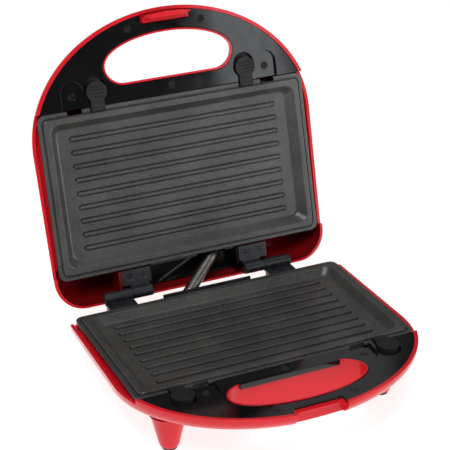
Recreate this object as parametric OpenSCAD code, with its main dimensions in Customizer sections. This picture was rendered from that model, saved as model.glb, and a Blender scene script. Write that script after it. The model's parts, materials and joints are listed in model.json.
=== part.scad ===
// Panini press with removable ribbed plates: a hinged lid over a base on four legs.
// Both halves are drawn closed, in a half frame: x to the right, y towards the hinge,
// h away from the parting plane where the two plates meet. The base half is mirrored
// down, and the lid half is turned back about the hinge to its open rest.
// Origin: centre of the resting plane under the four feet. +Z up, -Y towards the user.

/* [Plate] */
// Width of a plate over its flange
plate_w = 220.6; // [216:0.2:222]
// Depth of a plate over its flange, front to back
plate_d = 128.8; // [126:0.2:130]
// Number of grill ribs on each plate
rib_count = 9; // [5:1:10]
// Length of a grill rib
rib_length = 171; // [120:1:176]
// Spacing of the grill ribs
rib_pitch = 10.63; // [9:0.01:10.7]

/* [Housing] */
// Width of the housing
body_w = 233; // [232:0.5:236]
// Distance from the plate's centre to the front of the housing
front_reach = 133.2; // [131:0.1:136]
// Height of the parting plane above the table
part_z = 50; // [48:0.5:56]
// Thickness of the housing walls
wall = 2.6; // [2.2:0.1:2.8]

/* [Handle] */
// Width of the handle opening
handle_w = 108; // [100:1:108]
// Depth of the handle opening, front to back
handle_d = 37.9; // [32:0.1:38]

/* [Hinge] */
// Distance from the plate's centre to the hinge axis
hinge_y = 83; // [82.8:0.1:83.4]
// Depth of the hinge axis below the parting plane
hinge_drop = 2.5; // [2.4:0.1:3]
// How far the lid stands open at rest, in degrees
lid_open = 104.7; // [90:0.1:106]
// Radius of the hinge pins
pin_r = 1.5; // [1.2:0.1:1.6]

/* [Hidden] */
$fn = 48;

red = [0.80, 0.07, 0.09];
black = [0.07, 0.07, 0.08];
coated = [0.24, 0.24, 0.25];
steel = [0.72, 0.72, 0.74];

eps = 0.01;
gap = 0.3;

// Plate section, as depths below the parting plane
rim_h = 0.4;
flange_h = 2.2;
flange_t = 1.8;
floor_h = 6.5;
plate_under_h = 8.7;
flange_w = 4;
rim_w = 5;
pan_slope = 4.9;
rib_w = 2.6;
rib_rise = 1.6;
clip_notch_w = 12;

// Housing outline: a half ellipse in front, straight sides and round rear corners
half_w = body_w / 2;
nose_y = -36.6;
nose_b = front_reach + nose_y;
// Share of a slice's front draw-in that moves its ellipse back, so that the nose stays round
nose_shift = 0.6;
rear_y = 88.3;
rear_r = 24;
rear_taper = 1.5;
// Each slice of the dome: depth, then how far its sides, front and rear are drawn in
dome = [[0.2, 0, 0, 0], [4, 0.2, 0, 0.1], [8, 0.9, 1.8, 0.3], [12, 2, 6, 0.7],
    [17, 4.2, 20, 1.5], [26, 10.5, 50, 5], [33, 19, 74, 11], [38, 34, 94, 24]];
dome_h = 38;
slice_t = 0.2;
rear_wall = 1.8;
front_edge_y = -plate_d / 2 - 0.6;
front_rim_h = 1;
side_rim_h = 5;
base_rear_rim_h = 17;
lid_rear_rim_h = 2;
rear_step_y = 61;

// Front panel
bezel_h = 1.6;
bezel_t = 2.2;
bezel_inset = 3;
lining_t = 1.6;
hole_mid_y = -92.7;
hole_front_b = 22.2;
hole_rear_b = handle_d - hole_front_b;
hole_rear_a = 17;
// The lid's handle opening is straight up to one depth and widens towards the outside from there
grip_straight_h = 4.2;
grip_wide_h = 24;
lid_grip_flare = 8;

// Release tabs sit wider apart in the base than in the lid, so each faces a pocket
base_tab_x = 80.3;
lid_tab_x = 61.8;
tab_y = -76.2;
tab_r = 8.2;
tab_stem_w = 11;
tab_travel = 2.5;
tab_clear = 0.4;
pocket_y = -77.2;
pocket_r = 9;
pocket_h = 4.2;
pocket_t = 1.6;
pocket_wall = 1.2;

// Latch
latch_w = 37.4;
latch_gap = 0.6;
notch_w = latch_w + 2 * latch_gap;
notch_y = -120.7;
latch_pin_y = -125.9;
latch_pin_h = 5.1;
latch_pin_r = 1.2;
latch_rear_y = -121.8;
latch_top_h = 7.2;
slot_top_h = 8;
slot_inset = 2.8;
hook_w = 31;
hook_h = -9;
hook_rear_y = -125.9;

// Hinge
barrel_r = 4.6;
base_knuckle = [56.3, 79.3];
lid_knuckle = [39.7, 56];
leaf_t = 1.8;
base_leaf_h = hinge_drop + barrel_r;
lid_leaf_h = barrel_r - hinge_drop;

// Screws
screw_r = 1.4;
head_r = 2.7;
screw_len = 9;
bezel_screw_at = [[0, -71.4], [-30, -118.5], [30, -118.5]];

// Legs
leg_x = 85;
leg_front_y = -59.7;
leg_rear_y = 66;
leg_top_r = 13;
leg_foot_r = 7.6;
pad_r = 5.6;
pad_t = 2;

// Tray and element
tray_x = 92;
tray_y = 55;
tray_h = 9.1;
tray_floor_h = 17.5;
tray_t = 0.8;
element_r = 3.3;
element_h = 12.5;
element_x = 74;
element_y = 34;
element_bend = 18;
terminal_x = 10;
terminal_end_h = 26;
tray_screw_at = [[-50, -16], [50, -16], [-50, 18], [50, 18]];

gland_x = 55;
gland_h = 26;
gland_bore_r = 3.3;

lens_x = [-9, 9];
lens_y = -20;

// Spring-wound steel conduit that carries the wires over the hinge, as it lies when open
conduit_r = 4.7;
conduit_base = [-17, 72, 24];
conduit_lid = [20, 69, 16];

// ---- frames -------------------------------------------------------------------

module base_frame() {
    translate([0, 0, part_z]) mirror([0, 0, 1]) children();
}

module lid_frame() {
    translate([0, hinge_y, part_z - hinge_drop])
        rotate([-lid_open, 0, 0])
            translate([0, -hinge_y, hinge_drop]) children();
}

// ---- outlines -----------------------------------------------------------------

function arc(cx, cy, rx, ry, from, to, steps) =
    [for (i = [0:steps]) let (a = from + (to - from) * i / steps)
        [cx + rx * cos(a), cy + ry * sin(a)]];

function outline(side, front, rear) =
    let (r = rear_r - min(side, rear), cx = half_w - side - rear_taper - r, cy = rear_y - rear - r)
    concat(arc(0, nose_y + nose_shift * front, half_w - side, nose_b - (1 - nose_shift) * front,
            180, 360, 36),
        arc(cx, cy, r, r, 0, 90, 6), arc(-cx, cy, r, r, 90, 180, 6));

function round_rect(w, d, r) =
    concat(arc(w / 2 - r, d / 2 - r, r, r, 0, 90, 5), arc(r - w / 2, d / 2 - r, r, r, 90, 180, 5),
        arc(r - w / 2, r - d / 2, r, r, 180, 270, 5), arc(w / 2 - r, r - d / 2, r, r, 270, 360, 5));

function hole_outline(grow) =
    let (a = handle_w / 2 + grow, ra = hole_rear_a + grow, rb = hole_rear_b + grow,
        cx = handle_w / 2 - hole_rear_a)
    concat(arc(0, hole_mid_y, a, hole_front_b + grow, 180, 360, 30),
        arc(cx, hole_mid_y, ra, rb, 0, 90, 8), arc(-cx, hole_mid_y, ra, rb, 90, 180, 8));

module slab(points, h0, h1) {
    translate([0, 0, h0]) linear_extrude(h1 - h0) polygon(points);
}

module box(low, high) {
    translate(low) cube(high - low);
}

module post(x, y, h0, h1, r) {
    translate([x, y, h0]) cylinder(h = h1 - h0, r = r);
}

// ---- swept tubes --------------------------------------------------------------

function unit(v) = v / norm(v);
function heading(p, i) = unit(p[min(i + 1, len(p) - 1)] - p[max(i - 1, 0)]);
function ring_points(p, i, r, sides, ref) =
    let (t = heading(p, i), u = unit(cross(t, ref)), v = cross(t, u))
    [for (k = [0:sides - 1]) let (a = 360 * k / sides) p[i] + r * (cos(a) * u + sin(a) * v)];

module tube(path, r, sides, ref) {
    n = len(path);
    points = [for (i = [0:n - 1]) each ring_points(path, i, r, sides, ref)];
    walls = [for (i = [0:n - 2]) for (k = [0:sides - 1])
        let (q = (k + 1) % sides, a = i * sides, b = (i + 1) * sides)
        each [[a + k, a + q, b + q], [a + k, b + q, b + k]]];
    start = [for (k = [1:sides - 2]) [0, k + 1, k]];
    last = (n - 1) * sides;
    end = [for (k = [1:sides - 2]) [last, last + k, last + k + 1]];
    polyhedron(points, concat(walls, start, end), convexity = 4);
}

// ---- housing ------------------------------------------------------------------

module dome_outer() {
    hull() for (s = dome) slab(outline(s[1], s[2], s[3]), s[0] - slice_t, s[0]);
}

// The wall is offset sideways where the dome is steep and downwards where it is flat
function inner_depth(h) = h * (1 - wall / dome_h);

module dome_inner() {
    hull() {
        slab(outline(wall, wall, rear_wall), -1, 0);
        for (s = dome)
            slab(outline(s[1] + wall, s[2] + wall, s[3] + rear_wall),
                inner_depth(s[0]), inner_depth(s[0]) + slice_t);
    }
}

// Everything of the shells' screw bosses and ribs, cut to the inside of the dome
module inner_posts(tab_x, own_pocket_x) {
    for (p = bezel_screw_at) post(p[0], p[1], bezel_h + bezel_t, dome_h, 3.6);
    for (s = [-1, 1]) {
        post(s * own_pocket_x, pocket_y + 3, pocket_h + pocket_t, dome_h, 3.6);
        box([s * tab_x - 6.5, -91.2 - 2, 6.2], [s * tab_x + 6.5, -91.2, dome_h]);
        for (q = [-1, 1])
            box([s * tab_x + q * 5.6 - 1, -87, 6], [s * tab_x + q * 5.6 + 1, -69, dome_h]);
    }
    for (p = tray_screw_at) post(p[0], p[1], tray_floor_h, dome_h, 3.6);
    for (s = [-1, 1]) {
        box([s * 109 - 7.5, -60, plate_under_h + 0.2], [s * 109 + 7.5, 56, plate_under_h + 2.2]);
        for (y = [-36, 44]) box([s * 109 - 7.5, y - 5, plate_under_h + 0.2], [s * 109 + 7.5, y + 5, dome_h]);
    }
}

module screw_holes(tab_x, own_pocket_x) {
    for (p = bezel_screw_at) post(p[0], p[1], 0, bezel_h + screw_len + 1, screw_r + 0.02);
    for (s = [-1, 1]) post(s * own_pocket_x, pocket_y + 3, 0, pocket_h + screw_len + 1, screw_r + 0.02);
    for (p = tray_screw_at) post(p[0], p[1], 15, tray_floor_h + screw_len, screw_r + 0.02);
}

// The handle opening, grown by a margin and widening outwards by the flare
module grip(grow, flare) {
    if (flare > 0) {
        slab(hole_outline(grow), -2, grip_straight_h + slice_t);
        hull() {
            slab(hole_outline(grow), grip_straight_h, grip_straight_h + slice_t);
            slab(hole_outline(grow + flare), grip_wide_h, grip_wide_h + slice_t);
        }
        slab(hole_outline(grow + flare), grip_wide_h, dome_h + 1);
    } else {
        slab(hole_outline(grow), -2, dome_h + 1);
    }
}

// The bare dome with its handle opening and the walls of its notch; more walls come as children
module housing(tab_x, own_pocket_x, flare) {
    difference() {
        dome_outer();
        difference() {
            dome_inner();
            grip(-0.3, flare);
            box([-notch_w / 2 - wall, -150, bezel_h + bezel_t],
                [notch_w / 2 + wall, notch_y + wall, dome_h]);
            inner_posts(tab_x, own_pocket_x);
            children();
        }
        grip(-0.3 - lining_t, flare);
        screw_holes(tab_x, own_pocket_x);
    }
}

module rim_cut(rear_h) {
    box([-130, -140, -1], [130, front_edge_y, front_rim_h]);
    box([-130, front_edge_y - eps, -1], [130, rear_step_y, side_rim_h]);
    box([-130, rear_step_y - eps, -1], [130, 95, rear_h]);
}

module leg(x, y) {
    foot = part_z - pad_t + 0.6;
    difference() {
        translate([x, y, 0]) rotate_extrude()
            polygon([[0, 22], [leg_top_r, 22], [leg_foot_r, foot - 3], [leg_foot_r - 0.9, foot - 0.9],
                [leg_foot_r - 3, foot], [0, foot]]);
        dome_inner();
    }
}

module base_shell() {
    color(red) base_frame() {
        difference() {
            union() {
                housing(base_tab_x, lid_tab_x, 0) {
                    for (s = [-1, 1])
                        box([s * 67.8 - 11.6, 62.5, base_leaf_h], [s * 67.8 + 11.6, 78, dome_h]);
                    translate([gland_x, 70, gland_h]) rotate([-90, 0, 0]) cylinder(h = 16.3, r = 9.5);
                    post(conduit_base[0], conduit_base[1], conduit_base[2], dome_h, 7);
                }
                for (s = [-1, 1]) {
                    leg(s * leg_x, leg_front_y);
                    leg(s * leg_x, leg_rear_y);
                }
                translate([gland_x, 80, gland_h]) rotate([-90, 0, 0]) cylinder(h = 6.3, r = 9.5);
            }
            difference() {
                rim_cut(base_rear_rim_h);
                for (s = [-1, 1])
                    box([s * 67.8 - 11.6, 62.5, base_leaf_h], [s * 67.8 + 11.6, 78, dome_h]);
                slab(hole_outline(-0.3), front_rim_h, dome_h);
            }
            box([-notch_w / 2, -150, -2], [notch_w / 2, notch_y, dome_h]);
            translate([gland_x, 60, gland_h]) rotate([-90, 0, 0]) cylinder(h = 17, r = 8);
            translate([gland_x, 70, gland_h]) rotate([-90, 0, 0]) cylinder(h = 20, r = 5.2);
            for (s = [-1, 1]) for (x = [62, 73.6])
                post(s * x, 70, 0, base_leaf_h + screw_len, screw_r + 0.02);
            for (s = [-1, 1]) for (y = [leg_front_y, leg_rear_y])
                post(s * leg_x, y, part_z - pad_t, part_z + 1, pad_r + 0.02);
        }
        catch_ledge();
    }
}

// The ledge that the latch's hook snaps under
module catch_ledge() {
    box([-16, notch_y - 3.2, 4], [16, notch_y + 0.5, 6]);
}

module lid_shell() {
    color(red) lid_frame() difference() {
        housing(lid_tab_x, base_tab_x, lid_grip_flare) {
            for (s = [-1, 1]) {
                box([s * 49.6 - 11.6, 65.8, lid_leaf_h], [s * 49.6 + 11.6, 77, dome_h]);
                box([s * 62.2 - 1, 65.8, 3], [s * 62.2 + 1, 88, dome_h]);
            }
            for (x = lens_x) post(x, lens_y, 29, dome_h, 6.4);
            post(conduit_lid[0], conduit_lid[1], conduit_lid[2], dome_h, 7);
        }
        difference() {
            rim_cut(lid_rear_rim_h);
            slab(hole_outline(-0.3), front_rim_h, dome_h);
        }
        latch_slice(notch_w, slot_inset, notch_y, -2, bezel_h + bezel_t);
        latch_slice(notch_w, slot_inset + 1, notch_y, bezel_h, slot_top_h);
        translate([-notch_w / 2 - 2, latch_pin_y, latch_pin_h]) rotate([0, 90, 0])
            cylinder(h = notch_w + 4, r = latch_pin_r + 0.02);
        for (s = [-1, 1]) for (x = [43.8, 55.4])
            post(s * x, 71, 0, lid_leaf_h + screw_len, screw_r + 0.02);
        for (x = lens_x) {
            post(x, lens_y, 20, dome_h + 1, 3.6);
            post(x, lens_y, 20, dome_h - 3, 5.2);
        }
    }
}

// A release tab's window through the front panel, long enough for its travel
module tab_window(x, h0, h1) {
    for (y = [tab_y, tab_y - tab_travel]) post(x, y, h0, h1, tab_r + tab_clear);
    box([x - tab_r - tab_clear, tab_y - tab_travel, h0], [x + tab_r + tab_clear, tab_y, h1]);
    box([x - tab_stem_w / 2 - tab_clear, tab_y, h0], [x + tab_stem_w / 2 + tab_clear, front_edge_y + 1, h1]);
}

module bezel(tab_x, own_pocket_x) {
    difference() {
        union() {
            intersection() {
                slab(outline(bezel_inset, bezel_inset, bezel_inset), bezel_h, bezel_h + bezel_t);
                box([-130, -140, 0], [130, front_edge_y, 10]);
            }
            for (s = [-1, 1]) pocket_block(s * own_pocket_x);
        }
        for (s = [-1, 1]) {
            post(s * own_pocket_x, pocket_y, 0, pocket_h, pocket_r);
            box([s * own_pocket_x - pocket_r, pocket_y, 0],
                [s * own_pocket_x + pocket_r, front_edge_y + 4, pocket_h]);
            tab_window(s * tab_x, -1, 10);
            post(s * own_pocket_x, pocket_y + 3, 0, 10, screw_r + 0.1);
            post(s * own_pocket_x, pocket_y + 3, 0, pocket_h + 0.7, head_r + 0.1);
        }
        slab(hole_outline(0), 0, 10);
        box([-notch_w / 2, -150, 0], [notch_w / 2, notch_y, 10]);
        for (p = bezel_screw_at) {
            post(p[0], p[1], 0, 10, screw_r + 0.1);
            post(p[0], p[1], 0, bezel_h + 0.9, head_r + 0.1);
        }
    }
}

// The walls and floor round a pocket, before the pocket is cut out
module pocket_block(x) {
    post(x, pocket_y, bezel_h, pocket_h + pocket_t, pocket_r + pocket_wall);
    box([x - pocket_r - pocket_wall, pocket_y, bezel_h],
        [x + pocket_r + pocket_wall, front_edge_y, pocket_h + pocket_t]);
}

module base_bezel() {
    color(black) base_frame() {
        bezel(base_tab_x, lid_tab_x);
        base_lip();
    }
}

// Turned-down lip that guards the plate side of the base's handle opening
module base_lip() {
    rear = hole_mid_y + hole_rear_b;
    box([-39, rear - 3.6, -0.4], [39, rear + 0.6, front_rim_h - 0.2]);
    box([-39, rear + 0.05, -0.4], [39, rear + 0.6, bezel_h + bezel_t]);
    box([-39, rear - 3.6, -0.4], [39, rear - 2.1, 3.9]);
}

module lid_bezel() {
    color(black) lid_frame() bezel(lid_tab_x, base_tab_x);
}

// ---- plates -------------------------------------------------------------------

module plate() {
    rim_x = plate_w - 2 * flange_w;
    rim_y = plate_d - 2 * flange_w;
    in_x = rim_x - 2 * rim_w;
    in_y = rim_y - 2 * rim_w;
    difference() {
        union() {
            slab(round_rect(rim_x, rim_y, 4), rim_h, plate_under_h);
            slab(round_rect(plate_w, plate_d, 6), flange_h, flange_h + flange_t);
        }
        hull() {
            slab(round_rect(in_x, in_y, 7), rim_h - 0.1, rim_h);
            slab(round_rect(in_x - 2 * pan_slope, in_y - 2 * pan_slope, 5), floor_h - eps, floor_h);
        }
        difference() {
            slab(round_rect(rim_x - 5, rim_y - 5, 4), 6.9, 20);
            slab(round_rect(in_x - 2 * pan_slope + 5, in_y - 2 * pan_slope + 5, 6), 0, 30);
        }
        for (x = [-base_tab_x, -lid_tab_x, lid_tab_x, base_tab_x])
            box([x - clip_notch_w / 2, -plate_d, 0], [x + clip_notch_w / 2, -rim_y / 2 - 0.4, 6]);
    }
    for (i = [0:rib_count - 1]) rib((i - (rib_count - 1) / 2) * rib_pitch);
}

module rib(y) {
    straight = rib_length / 2 - rib_w / 2;
    box([-straight, y - rib_w / 2, floor_h - rib_rise], [straight, y + rib_w / 2, floor_h + 0.5]);
    for (s = [-1, 1]) post(s * straight, y, floor_h - rib_rise, floor_h + 0.5, rib_w / 2);
}

module base_plate() {
    color(coated) base_frame() plate();
}

module lid_plate() {
    color(coated) lid_frame() plate();
}

// ---- heating ------------------------------------------------------------------

module tray() {
    difference() {
        box([-tray_x, -tray_y, tray_h], [tray_x, tray_y, tray_floor_h]);
        box([-tray_x + tray_t, -tray_y + tray_t, tray_h - 1],
            [tray_x - tray_t, tray_y - tray_t, tray_floor_h - tray_t]);
        for (s = [-1, 1]) post(s * terminal_x, element_y, 0, 40, element_r + 1);
        for (p = tray_screw_at) post(p[0], p[1], 0, 40, screw_r + 0.1);
    }
}

module bar(x, y, h, length, turn) {
    translate([x, y, h]) rotate([0, 0, turn]) rotate([0, 90, 0]) cylinder(h = length, r = element_r);
}

module bend(x, y, from) {
    translate([x, y, element_h]) rotate([0, 0, from])
        rotate_extrude(angle = 90) translate([element_bend, 0]) circle(r = element_r);
}

module element() {
    bx = element_x - element_bend;
    by = element_y - element_bend;
    for (s = [-1, 1]) {
        post(s * terminal_x, element_y, element_h, terminal_end_h, element_r);
        translate([s * terminal_x, element_y, element_h]) sphere(r = element_r);
        post(s * terminal_x, element_y, terminal_end_h, terminal_end_h + 4, 1.2);
    }
    bar(terminal_x, element_y, element_h, bx - terminal_x, 0);
    bar(-bx, element_y, element_h, bx - terminal_x, 0);
    bar(element_x, -by, element_h, 2 * by, 90);
    bar(-element_x, -by, element_h, 2 * by, 90);
    bar(-bx, -element_y, element_h, 2 * bx, 0);
    bend(bx, by, 0);
    bend(-bx, by, 90);
    bend(-bx, -by, 180);
    bend(bx, -by, 270);
}

module element_clips() {
    for (p = [[-element_x, 0, 90], [element_x, 0, 90], [-26, -element_y, 0], [26, -element_y, 0]])
        translate([p[0], p[1], 0]) rotate([0, 0, p[2]]) difference() {
            box([-5, -5, element_h - 1], [5, 5, tray_floor_h - tray_t]);
            translate([-6, 0, element_h]) rotate([0, 90, 0]) cylinder(h = 12, r = element_r + 0.05);
            box([-6, -element_r - 0.05, 0], [6, element_r + 0.05, element_h]);
        }
}

module tray_screws() {
    for (p = tray_screw_at) screw(p[0], p[1], tray_floor_h - tray_t - 1.6);
}

// Upstand behind a plate's rear flange, over each span of x
module rear_guard(spans, top_h) {
    for (x = spans) {
        box([x[0], 64.9, top_h], [x[1], 66.4, 10.4]);
        box([x[0], 55.8, 9.1], [x[1], 66.4, 10.4]);
    }
}

module base_reflector() {
    color(steel) base_frame() tray();
}

module lid_reflector() {
    color(steel) lid_frame() tray();
}

module base_element() {
    color([0.35, 0.33, 0.32]) base_frame() element();
}

module lid_element() {
    color([0.35, 0.33, 0.32]) lid_frame() element();
}

module base_element_clips() {
    color(steel) base_frame() element_clips();
}

module lid_element_clips() {
    color(steel) lid_frame() element_clips();
}

module base_rear_guard() {
    color(black) base_frame() rear_guard([[-37, 37]], 0.3);
}

module lid_rear_guard() {
    color(black) lid_frame() rear_guard([[-36, 4], [28, 36]], 4.4);
}

// Black tray in the lid between the hinges, open where the conduit comes through
module lid_inner_cover() {
    color(black) lid_frame() difference() {
        union() {
            box([-38, 66, 15], [38, 84, 16.6]);
            for (s = [-1, 1]) box([s * 37.1 - 0.7, 66, 2.3], [s * 37.1 + 0.7, 84, 15.1]);
        }
        post(conduit_lid[0], conduit_lid[1], 10, 20, 7.2);
    }
}

// ---- release tabs and springs --------------------------------------------------

module release_tab(x) {
    top_h = -1.3;
    lug_y = -78.4;
    difference() {
        union() {
            post(x, tab_y, top_h, bezel_h + bezel_t + 0.6, tab_r);
            box([x - tab_stem_w / 2, tab_y, top_h + 0.9],
                [x + tab_stem_w / 2, -plate_d / 2 + 0.2, bezel_h + bezel_t + 0.6]);
            box([x - 6.5, -89.6, bezel_h + bezel_t + 0.3], [x + 6.5, -69, bezel_h + bezel_t + 1.9]);
            box([x - tab_stem_w / 2 + 0.4, -plate_d / 2, 0.6], [x + tab_stem_w / 2 - 0.4, -61.3, 3.6]);
            box([x - 3, lug_y - 1.5, 5], [x + 3, lug_y + 1.5, 11]);
        }
        for (i = [0:3])
            box([x - 6, tab_y + 3.4 - 2.6 * i, top_h - 1], [x + 6, tab_y + 4.2 - 2.6 * i, top_h + 0.5]);
    }
}

function coil(turns, radius, y0, y1, x, h) =
    [for (i = [0:turns * 12]) let (a = 30 * i, t = i / (turns * 12))
        [x + radius * cos(a), y0 + (y1 - y0) * t, h + radius * sin(a)]];

module release_spring(x) {
    tube(coil(5, 2.1, -80.3, -90.8, x, 8.7), 0.35, 6, [0, 1, 0]);
}

module base_release_left() {
    color(black) base_frame() release_tab(-base_tab_x);
}

module base_release_right() {
    color(black) base_frame() release_tab(base_tab_x);
}

module lid_release_left() {
    color(black) lid_frame() release_tab(-lid_tab_x);
}

module lid_release_right() {
    color(black) lid_frame() release_tab(lid_tab_x);
}

module base_spring_left() {
    color(steel) base_frame() release_spring(-base_tab_x);
}

module base_spring_right() {
    color(steel) base_frame() release_spring(base_tab_x);
}

module lid_spring_left() {
    color(steel) lid_frame() release_spring(-lid_tab_x);
}

module lid_spring_right() {
    color(steel) lid_frame() release_spring(lid_tab_x);
}

// ---- hinges -------------------------------------------------------------------

module barrel(side, span) {
    low = side > 0 ? span[0] : -span[1];
    difference() {
        translate([low, hinge_y, hinge_drop]) rotate([0, 90, 0])
            cylinder(h = span[1] - span[0], r = barrel_r);
        translate([low - 1, hinge_y, hinge_drop]) rotate([0, 90, 0])
            cylinder(h = span[1] - span[0] + 2, r = pin_r + 0.03);
    }
}

module hinge_bore(side) {
    translate([side * 60 - 30, hinge_y, hinge_drop]) rotate([0, 90, 0]) cylinder(h = 60, r = pin_r + 0.03);
}

module countersunk(x, y, face_h) {
    post(x, y, face_h - 5, face_h + 5, screw_r + 0.1);
    translate([x, y, face_h - eps]) cylinder(h = 1.3 + eps, r1 = head_r + 0.1, r2 = screw_r + 0.1);
}

module base_leaf(side) {
    base_frame() difference() {
        union() {
            barrel(side, base_knuckle);
            box([side * 67.8 - 11.5, 63, base_leaf_h - leaf_t], [side * 67.8 + 11.5, hinge_y, base_leaf_h]);
        }
        hinge_bore(side);
        for (x = [62, 73.6]) countersunk(side * x, 70, base_leaf_h - leaf_t);
    }
}

module lid_leaf(side) {
    lid_frame() difference() {
        union() {
            mirror([0, 0, 1]) barrel(side, lid_knuckle);
            box([side * 49.6 - 11.7, 65.3, lid_leaf_h - leaf_t], [side * 49.6 + 11.7, 77.2, lid_leaf_h]);
            box([side * 47.85 - 8.15, 77, lid_leaf_h - leaf_t], [side * 47.85 + 8.15, hinge_y, lid_leaf_h]);
        }
        mirror([0, 0, 1]) hinge_bore(side);
        for (x = [43.8, 55.4]) countersunk(side * x, 71, lid_leaf_h - leaf_t);
    }
}

module hinge_pin(side) {
    low = side > 0 ? lid_knuckle[0] : -base_knuckle[1];
    color(steel) base_frame() translate([low, hinge_y, hinge_drop]) rotate([0, 90, 0])
        cylinder(h = base_knuckle[1] - lid_knuckle[0], r = pin_r);
}

module base_hinge_leaf_left() {
    color(black) base_leaf(-1);
}

module base_hinge_leaf_right() {
    color(black) base_leaf(1);
}

module lid_hinge_leaf_left() {
    color(black) lid_leaf(-1);
}

module lid_hinge_leaf_right() {
    color(black) lid_leaf(1);
}

module hinge_pin_left() {
    hinge_pin(-1);
}

module hinge_pin_right() {
    hinge_pin(1);
}

// ---- screws -------------------------------------------------------------------

module cross_recess(x, y, h) {
    for (a = [0, 90]) translate([x, y, h]) rotate([0, 0, a]) box([-1.6, -0.35, -1], [1.6, 0.35, 0.9]);
}

// Pan-head screw: its head starts at top_h and its shank goes further in
module screw(x, y, top_h) {
    difference() {
        union() {
            post(x, y, top_h, top_h + 1.6, head_r);
            post(x, y, top_h + 1, top_h + screw_len - 1, screw_r);
        }
        cross_recess(x, y, top_h);
    }
}

module flush_screw(x, y, top_h, sink) {
    difference() {
        union() {
            post(x, y, top_h, top_h + sink, head_r);
            post(x, y, top_h + sink / 2, top_h + screw_len - 1, screw_r);
        }
        cross_recess(x, y, top_h - 0.5);
    }
}

module leaf_screw(x, y, face_h) {
    difference() {
        union() {
            translate([x, y, face_h + 0.1]) cylinder(h = 1.25, r1 = head_r - 0.15, r2 = screw_r);
            post(x, y, face_h + 1, face_h + screw_len, screw_r);
        }
        cross_recess(x, y, face_h + 0.1);
    }
}

module bezel_screws(own_pocket_x) {
    for (p = bezel_screw_at) flush_screw(p[0], p[1], bezel_h + 0.1, 0.8);
    for (s = [-1, 1]) flush_screw(s * own_pocket_x, pocket_y + 3, pocket_h + 0.05, 0.65);
}

module base_bezel_screws() {
    color(steel) base_frame() bezel_screws(lid_tab_x);
}

module lid_bezel_screws() {
    color(steel) lid_frame() bezel_screws(base_tab_x);
}

module base_hinge_screws() {
    color(black) base_frame()
        for (s = [-1, 1]) for (x = [62, 73.6]) leaf_screw(s * x, 70, base_leaf_h - leaf_t);
}

module lid_hinge_screws() {
    color(black) lid_frame()
        for (s = [-1, 1]) for (x = [43.8, 55.4]) leaf_screw(s * x, 71, lid_leaf_h - leaf_t);
}

module base_reflector_screws() {
    color(steel) base_frame() tray_screws();
}

module lid_reflector_screws() {
    color(steel) lid_frame() tray_screws();
}

// ---- latch --------------------------------------------------------------------

// A straight piece behind the front wall, which follows the outline at an inset
module latch_slice(w, inset, back_y, h0, h1) {
    intersection() {
        slab(outline(inset, inset, 0), h0, h1);
        box([-w / 2, -140, h0], [w / 2, back_y, h1]);
    }
}

// The lever as it hangs released; it hooks under the base's ledge when it swings inwards
module latch() {
    color(red) lid_frame() difference() {
        union() {
            latch_slice(latch_w, slot_inset + 0.4, latch_rear_y, -3.5, 3.5);
            latch_slice(latch_w, slot_inset + 1.6, latch_rear_y - 0.8, 3.4, latch_top_h);
            latch_slice(latch_w, slot_inset + 0.4, hook_rear_y, hook_h, -3.4);
            box([-hook_w / 2, hook_rear_y - 1, hook_h], [hook_w / 2, hook_rear_y + 1.4, hook_h + 2.4]);
        }
        translate([-latch_w, latch_pin_y, latch_pin_h]) rotate([0, 90, 0])
            cylinder(h = 2 * latch_w, r = latch_pin_r + 0.05);
    }
}

module latch_pin() {
    color(steel) lid_frame() translate([-notch_w / 2 - 1.8, latch_pin_y, latch_pin_h])
        rotate([0, 90, 0]) cylinder(h = notch_w + 3.6, r = latch_pin_r);
}

// ---- feet, cord and electrics ----------------------------------------------------

module foot_pads() {
    color([0.1, 0.1, 0.1]) base_frame()
        for (s = [-1, 1]) for (y = [leg_front_y, leg_rear_y])
            post(s * leg_x, y, part_z - pad_t, part_z, pad_r);
}

module cord_gland() {
    color(black) base_frame() translate([gland_x, 0, gland_h]) rotate([-90, 0, 0]) difference() {
        union() {
            translate([0, 0, 74]) cylinder(h = 12.4, r = 5.1);
            translate([0, 0, 86.3]) cylinder(h = 2, r = 7.6);
            translate([0, 0, 74]) cylinder(h = 2.9, r = 7.2);
        }
        translate([0, 0, 70]) cylinder(h = 20, r = gland_bore_r);
    }
}

module terminal_block() {
    color([0.9, 0.88, 0.82]) base_frame() difference() {
        box([26, 40, 24], [50, 52, 34]);
        for (x = [30, 38, 46]) post(x, 46, 20, 30, 1.8);
    }
}

module thermostat() {
    color([0.85, 0.83, 0.78]) base_frame() {
        post(-24, 0, tray_floor_h + 0.05, 28, 8);
        post(-24, 0, 27, 30, 5);
        for (x = [-30, -18]) box([x - 2, -0.4, 26], [x + 2, 0.4, 32]);
    }
}

module thermal_fuse() {
    color([0.9, 0.9, 0.9]) base_frame() translate([-36, 12, 24]) rotate([-90, 0, 0])
        cylinder(h = 16, r = 2.2);
}

wire_side = [0.31, 0.23, 0.92];

module run(path, r) {
    tube(path, r, 8, wire_side);
}

module base_wiring() {
    color([0.55, 0.12, 0.1]) base_frame() {
        run([[gland_x, 73, gland_h], [gland_x, 60, 28], [50.2, 46, 29]], 1.5);
        run([[25.8, 46, 31], [10, 46, 31], [10, element_y, 30.5]], 1);
        run([[25.8, 44, 28], [-2, 44, 31.5], [-36, 40, 24], [-36, 28.1, 24]], 1);
        run([[-36, 11.9, 24], [-36, 6, 28], [-30, 1.6, 29.5]], 1);
        run([[-18, -1.6, 29.5], [-14, -8, 30], [-6, 24, 32], [-10, element_y, 31.2]], 1);
    }
}

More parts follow.
